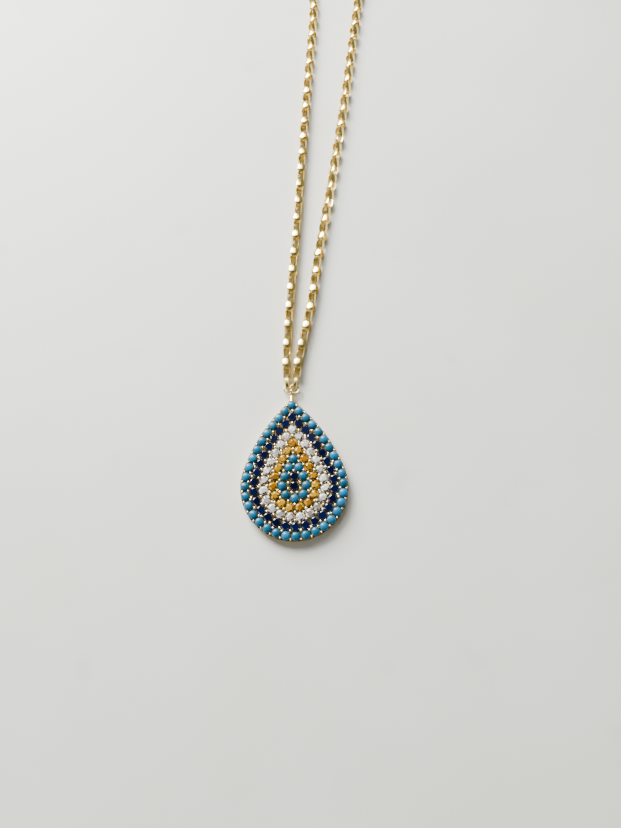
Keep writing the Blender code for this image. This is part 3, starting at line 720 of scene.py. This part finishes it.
def coil_path(side, last_link):
    """The coil, inwards turn by turn from its outer side, and off to the last link.

    The left side (-1) winds clockwise in the lower layer, the right one anticlockwise on top of it.
    The radius falls by one chain diameter with each turn. The first eighth of a turn has a point at
    its start only, so that the run eases into the coil.
    """
    low, high = box("chain_coil")
    centre = (low + high) / 2
    outer = (high[0] - low[0]) / 2 - CHAIN_DIAMETER / 2
    layer = CHAIN_HEIGHT + (CHAIN_DIAMETER if side > 0 else 0.0)
    turned = np.arange(COIL_STEPS // 8, int(COIL_TURNS * COIL_STEPS) + 1) / COIL_STEPS
    angle = (pi if side < 0 else 0.0) + side * turned * 2 * pi
    radius = outer - turned * CHAIN_DIAMETER
    spiral = np.column_stack([
        centre[0] + radius * np.cos(angle), centre[1] + radius * np.sin(angle),
        np.full(len(angle), layer),
    ])
    start = np.array([centre[0] + side * outer, centre[1], layer])
    top = spiral[-1]
    bend = abs(last_link[0] - centre[0])
    swing = np.linspace(0.0, pi / 2, 9)[1:]
    drop = (1 - np.cos(swing * 2)) / 2
    tail = np.column_stack([
        top[0] - side * bend * np.sin(swing), top[1] - bend * (1 - np.cos(swing)),
        top[2] + (last_link[2] - top[2]) * drop,
    ])
    return np.vstack([start[None], spiral, tail, last_link[None]])


def link_shape(plate, thickness, steps=16, squareness=3.4):
    """An oval link, its sides hammered to wide crowned plates: a band bent round a superellipse in X-Z.

    c, s = cosine and sine raised to 2 / squareness. The band's width is END + (plate - END) |sin|, and
    its outer face falls from the crown to the edges by depth d, with w from edge to edge:
    point = ((L/2 - d) c, width * w, (H/2 - d) s). X runs along the chain.
    """
    angle = (np.arange(steps) + 0.5) * 2 * pi / steps
    power = 2 / squareness
    c = (np.sign(np.cos(angle)) * np.abs(np.cos(angle)) ** power)[:, None]
    s = (np.sign(np.sin(angle)) * np.abs(np.sin(angle)) ** power)[:, None]
    width = LINK_END + (plate - LINK_END) * np.abs(np.sin(angle))[:, None]
    across = np.array([-0.5, -0.36, 0.0, 0.36, 0.5, 0.42, -0.42])[None]
    depth = np.array([0.6, 0.04, 0.0, 0.04, 0.6, 1.0, 1.0]) * thickness
    points = np.stack([
        (LINK_LENGTH / 2 - depth) * c, width * across, (LINK_HEIGHT / 2 - depth) * s,
    ], axis=-1)
    return points.reshape(-1, 3), grid_faces(steps, len(depth), True, True)


def chain_way(side, route):
    """The centre line of one side of the chain, from its first link's middle to its last link's."""
    first = box("end_link_right" if side > 0 else "end_link_left")
    last = box("end_link_catch" if side > 0 else "end_link_clasp")
    start, end = (first[0] + first[1]) / 2, (last[0] + last[1]) / 2
    run = np.array(route) + HANG + np.array([0.0, 0.0, CHAIN_HEIGHT])
    knots = np.vstack([start[None], run, coil_path(side, end)])
    return smooth_route(knots)


def make_chain(name, side, route, twist, seed, replaced, materials):
    """Oval band links along the centre line, each turned a quarter against the last."""
    centres, ways = evenly(chain_way(side, route), LINK_PITCH)
    count = len(centres)
    draw = np.random.default_rng(seed)
    number = np.arange(count)
    turn = np.clip((number * LINK_PITCH - twist[0]) / twist[1], 0.0, 1.0) * pi / 4
    roll = (number % 2) * pi / 2 + turn + draw.normal(0.0, ROLL_SPREAD, count)
    roll[:2] = (0.0, pi / 2)
    pitch = draw.normal(LINK_LEAN, LEAN_SPREAD, count)[:, None]
    pitch[[0, -1]] = 0.0
    roll[-2:] = (pi / 2 * ((count - 2) % 2), pi / 2 * ((count - 1) % 2))
    level = np.cross(ways, [0.0, 0.0, 1.0])
    level /= np.linalg.norm(level, axis=1)[:, None]
    up = np.cross(level, ways)
    ways, up = (
        np.cos(pitch) * ways - np.sin(pitch) * up, np.cos(pitch) * up + np.sin(pitch) * ways,
    )
    across = np.cos(roll)[:, None] * level + np.sin(roll)[:, None] * up
    rise = -np.sin(roll)[:, None] * level + np.cos(roll)[:, None] * up
    wide, slim = link_shape(LINK_PLATE, LINK_THICKNESS), link_shape(*SLIM_LINK)
    inner, outer = slice(1, -1), [0, -1]
    moved, all_faces = join([
        copies(*wide, centres[inner], ways[inner], across[inner], rise[inner]),
        copies(*slim, centres[outer], ways[outer], across[outer], rise[outer]),
    ])
    piece = make_piece(
        name, moved, all_faces, materials["link_gold"], "chain", "gold", replaced, sharp=38,
    )
    return piece, centres


def make_chains(materials):
    """Both sides of the chain, each with its centre line."""
    left = make_chain(
        "chain_links_left", -1, LEFT_ROUTE, LEFT_TWIST, 51,
        ["chain_left", "end_link_left", "end_link_clasp", "chain_coil"], materials,
    )
    right = make_chain(
        "chain_links_right", 1, RIGHT_ROUTE, RIGHT_TWIST, 53,
        ["chain_right", "end_link_right", "end_link_catch"], materials,
    )
    return left, right


def declare_cord(chain):
    """Turns one side of the chain's centre line into a list of points in metres."""
    piece, centres = chain
    path = (centres * MM).tolist()


# ---- findings ------------------------------------------------------------------------------------
def make_jump_ring(name, node, wire, materials, stoutness=1.0):
    """A round ring of wire in the place of its CAD ring, tilted if that one is.

    Stoutness makes its wire thicker than the CAD ring's.
    """
    low, high = box(node)
    radius = (high[0] - low[0]) / 2 - wire / 2
    rise = high[2] - low[2] - wire
    tilt = asin(rise / (2 * radius)) if rise > 0.3 * wire else 0.0
    shape = set_at(
        torus(radius, wire * stoutness), (low + high) / 2,
        (1, 0, 0), (0, cos(tilt), sin(tilt)), (0, -sin(tilt), cos(tilt)),
    )
    return make_piece(name, *shape, materials["link_gold"], node, "gold", [node])


def make_loop(materials):
    """The upright loop at the tip and its short neck, which widens to the plate.

    With a from 0 at the plate to 1 at the loop, the neck's radius is 0.31 + 0.12 (1 - a)^2 - 0.18 a^8.
    """
    low, high = box("pendant_loop")
    middle = np.array([0.0, high[1] - LOOP_RADIUS, LOOP_RADIUS + LOOP_LIFT])
    wire = torus(LOOP_RADIUS - LOOP_WIRE / 2, LOOP_WIRE)
    ring = set_at(wire, middle, (0, 1, 0), (0, 0, 1), (1, 0, 0))
    foot, end = low[1] - 0.06, high[1] - 2 * LOOP_RADIUS + LOOP_WIRE * 1.15
    t = np.linspace(0.0, 1.0, 9)
    profile = [(POLE, 0.0)]
    profile += [(0.31 + 0.12 * (1 - a) ** 2 - 0.18 * a ** 8, a * (end - foot)) for a in t]
    profile.append((POLE, end - foot))
    neck = set_at(lathe(profile, 16), (0.0, foot, middle[2]), (1, 0, 0), (0, 0, -1), (0, 1, 0))
    make_piece(
        "tip_loop", *join([ring, neck]), materials["gold"], "pendant", "gold", ["pendant_loop"],
    )


def make_spring(materials):
    """The spring in the clasp's bore, coiled about the ring's own arc.

    With a the angle on the ring and w the coil's own turn, the wire's middle is
    (R + q cos w) (cos a, sin a) + q sin w Z.
    """
    ring, coil, wire, turns, per_turn, sides = 2.0, 0.215, 0.09, 8, 16, 8
    ends = np.radians([-114.5, -245.0])
    joint = next(joint for joint in frame["joints"] if joint["name"] == "trigger_draw")
    centre = np.array(joint["pos_m"]) / MM
    step = np.arange(turns * per_turn + 1)[:, None]
    a = ends[0] + (ends[1] - ends[0]) * step / step.max()
    w, v = 2 * pi * step / per_turn, 2 * pi * np.arange(sides)[None] / sides
    out = coil * np.cos(w) + wire / 2 * np.cos(v) * np.cos(w)
    sideways = wire / 2 * np.sin(v)
    points = centre + np.stack([
        (ring + out) * np.cos(a) - sideways * np.sin(a),
        (ring + out) * np.sin(a) + sideways * np.cos(a),
        (coil + wire / 2 * np.cos(v)) * np.sin(w),
    ], axis=-1)
    faces = grid_faces(len(step), sides, False, True)
    piece = make_piece(
        "wound_spring", points.reshape(-1, 3), faces, materials["steel"], None, "spring_steel",
        ["clasp_spring"],
    )
    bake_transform(piece)
    return piece


def dress(node, material):
    """A CAD node that stays gets its fine material."""
    obj = frame["nodes"][node]
    obj.data.materials.clear()
    obj.data.materials.append(material)


def make_findings(materials):
    """Rings, loop, clasp and spring; returns what hangs on the chain's ends."""
    rings = {
        side: make_jump_ring(
            f"ring_{side}", f"jump_ring_{side}", PENDANT_RING_WIRE, materials, PENDANT_RING_STOUTNESS,
        )
        for side in ("left", "right")
    }
    rings["catch"] = make_jump_ring("catch_end_ring", "catch_ring", CATCH_RING_WIRE, materials)
    rings["clasp"] = make_jump_ring("clasp_end_ring", "clasp_jump_ring", CLASP_RING_WIRE, materials)
    make_loop(materials)
    for node in ("pendant_setting", "clasp_body", "clasp_trigger", "clasp_eye"):
        dress(node, materials["gold"])
    rings["spring"] = make_spring(materials)
    return rings


def make_floor(materials):
    """The slab's flat top, wide enough to fill every view."""
    mesh = bpy.data.meshes.new("slab")
    half = SLAB_HALF_WIDTH
    corners = [(-half, -half, 0), (half, -half, 0), (half, half, 0), (-half, half, 0)]
    mesh.from_pydata(corners, [], [(0, 1, 2, 3)])
    mesh.materials.append(materials["slab"])
    add("slab", mesh)


# ---- whole scene ---------------------------------------------------------------------------------
make_camera()
materials = make_materials()
left_chain, right_chain = make_chains(materials)
rings = make_findings(materials)
declare_cord(left_chain)
declare_cord(right_chain)
rows, pupils = make_stones(materials)
make_prongs(rows, pupils, materials)
make_floor(materials)
make_lights()
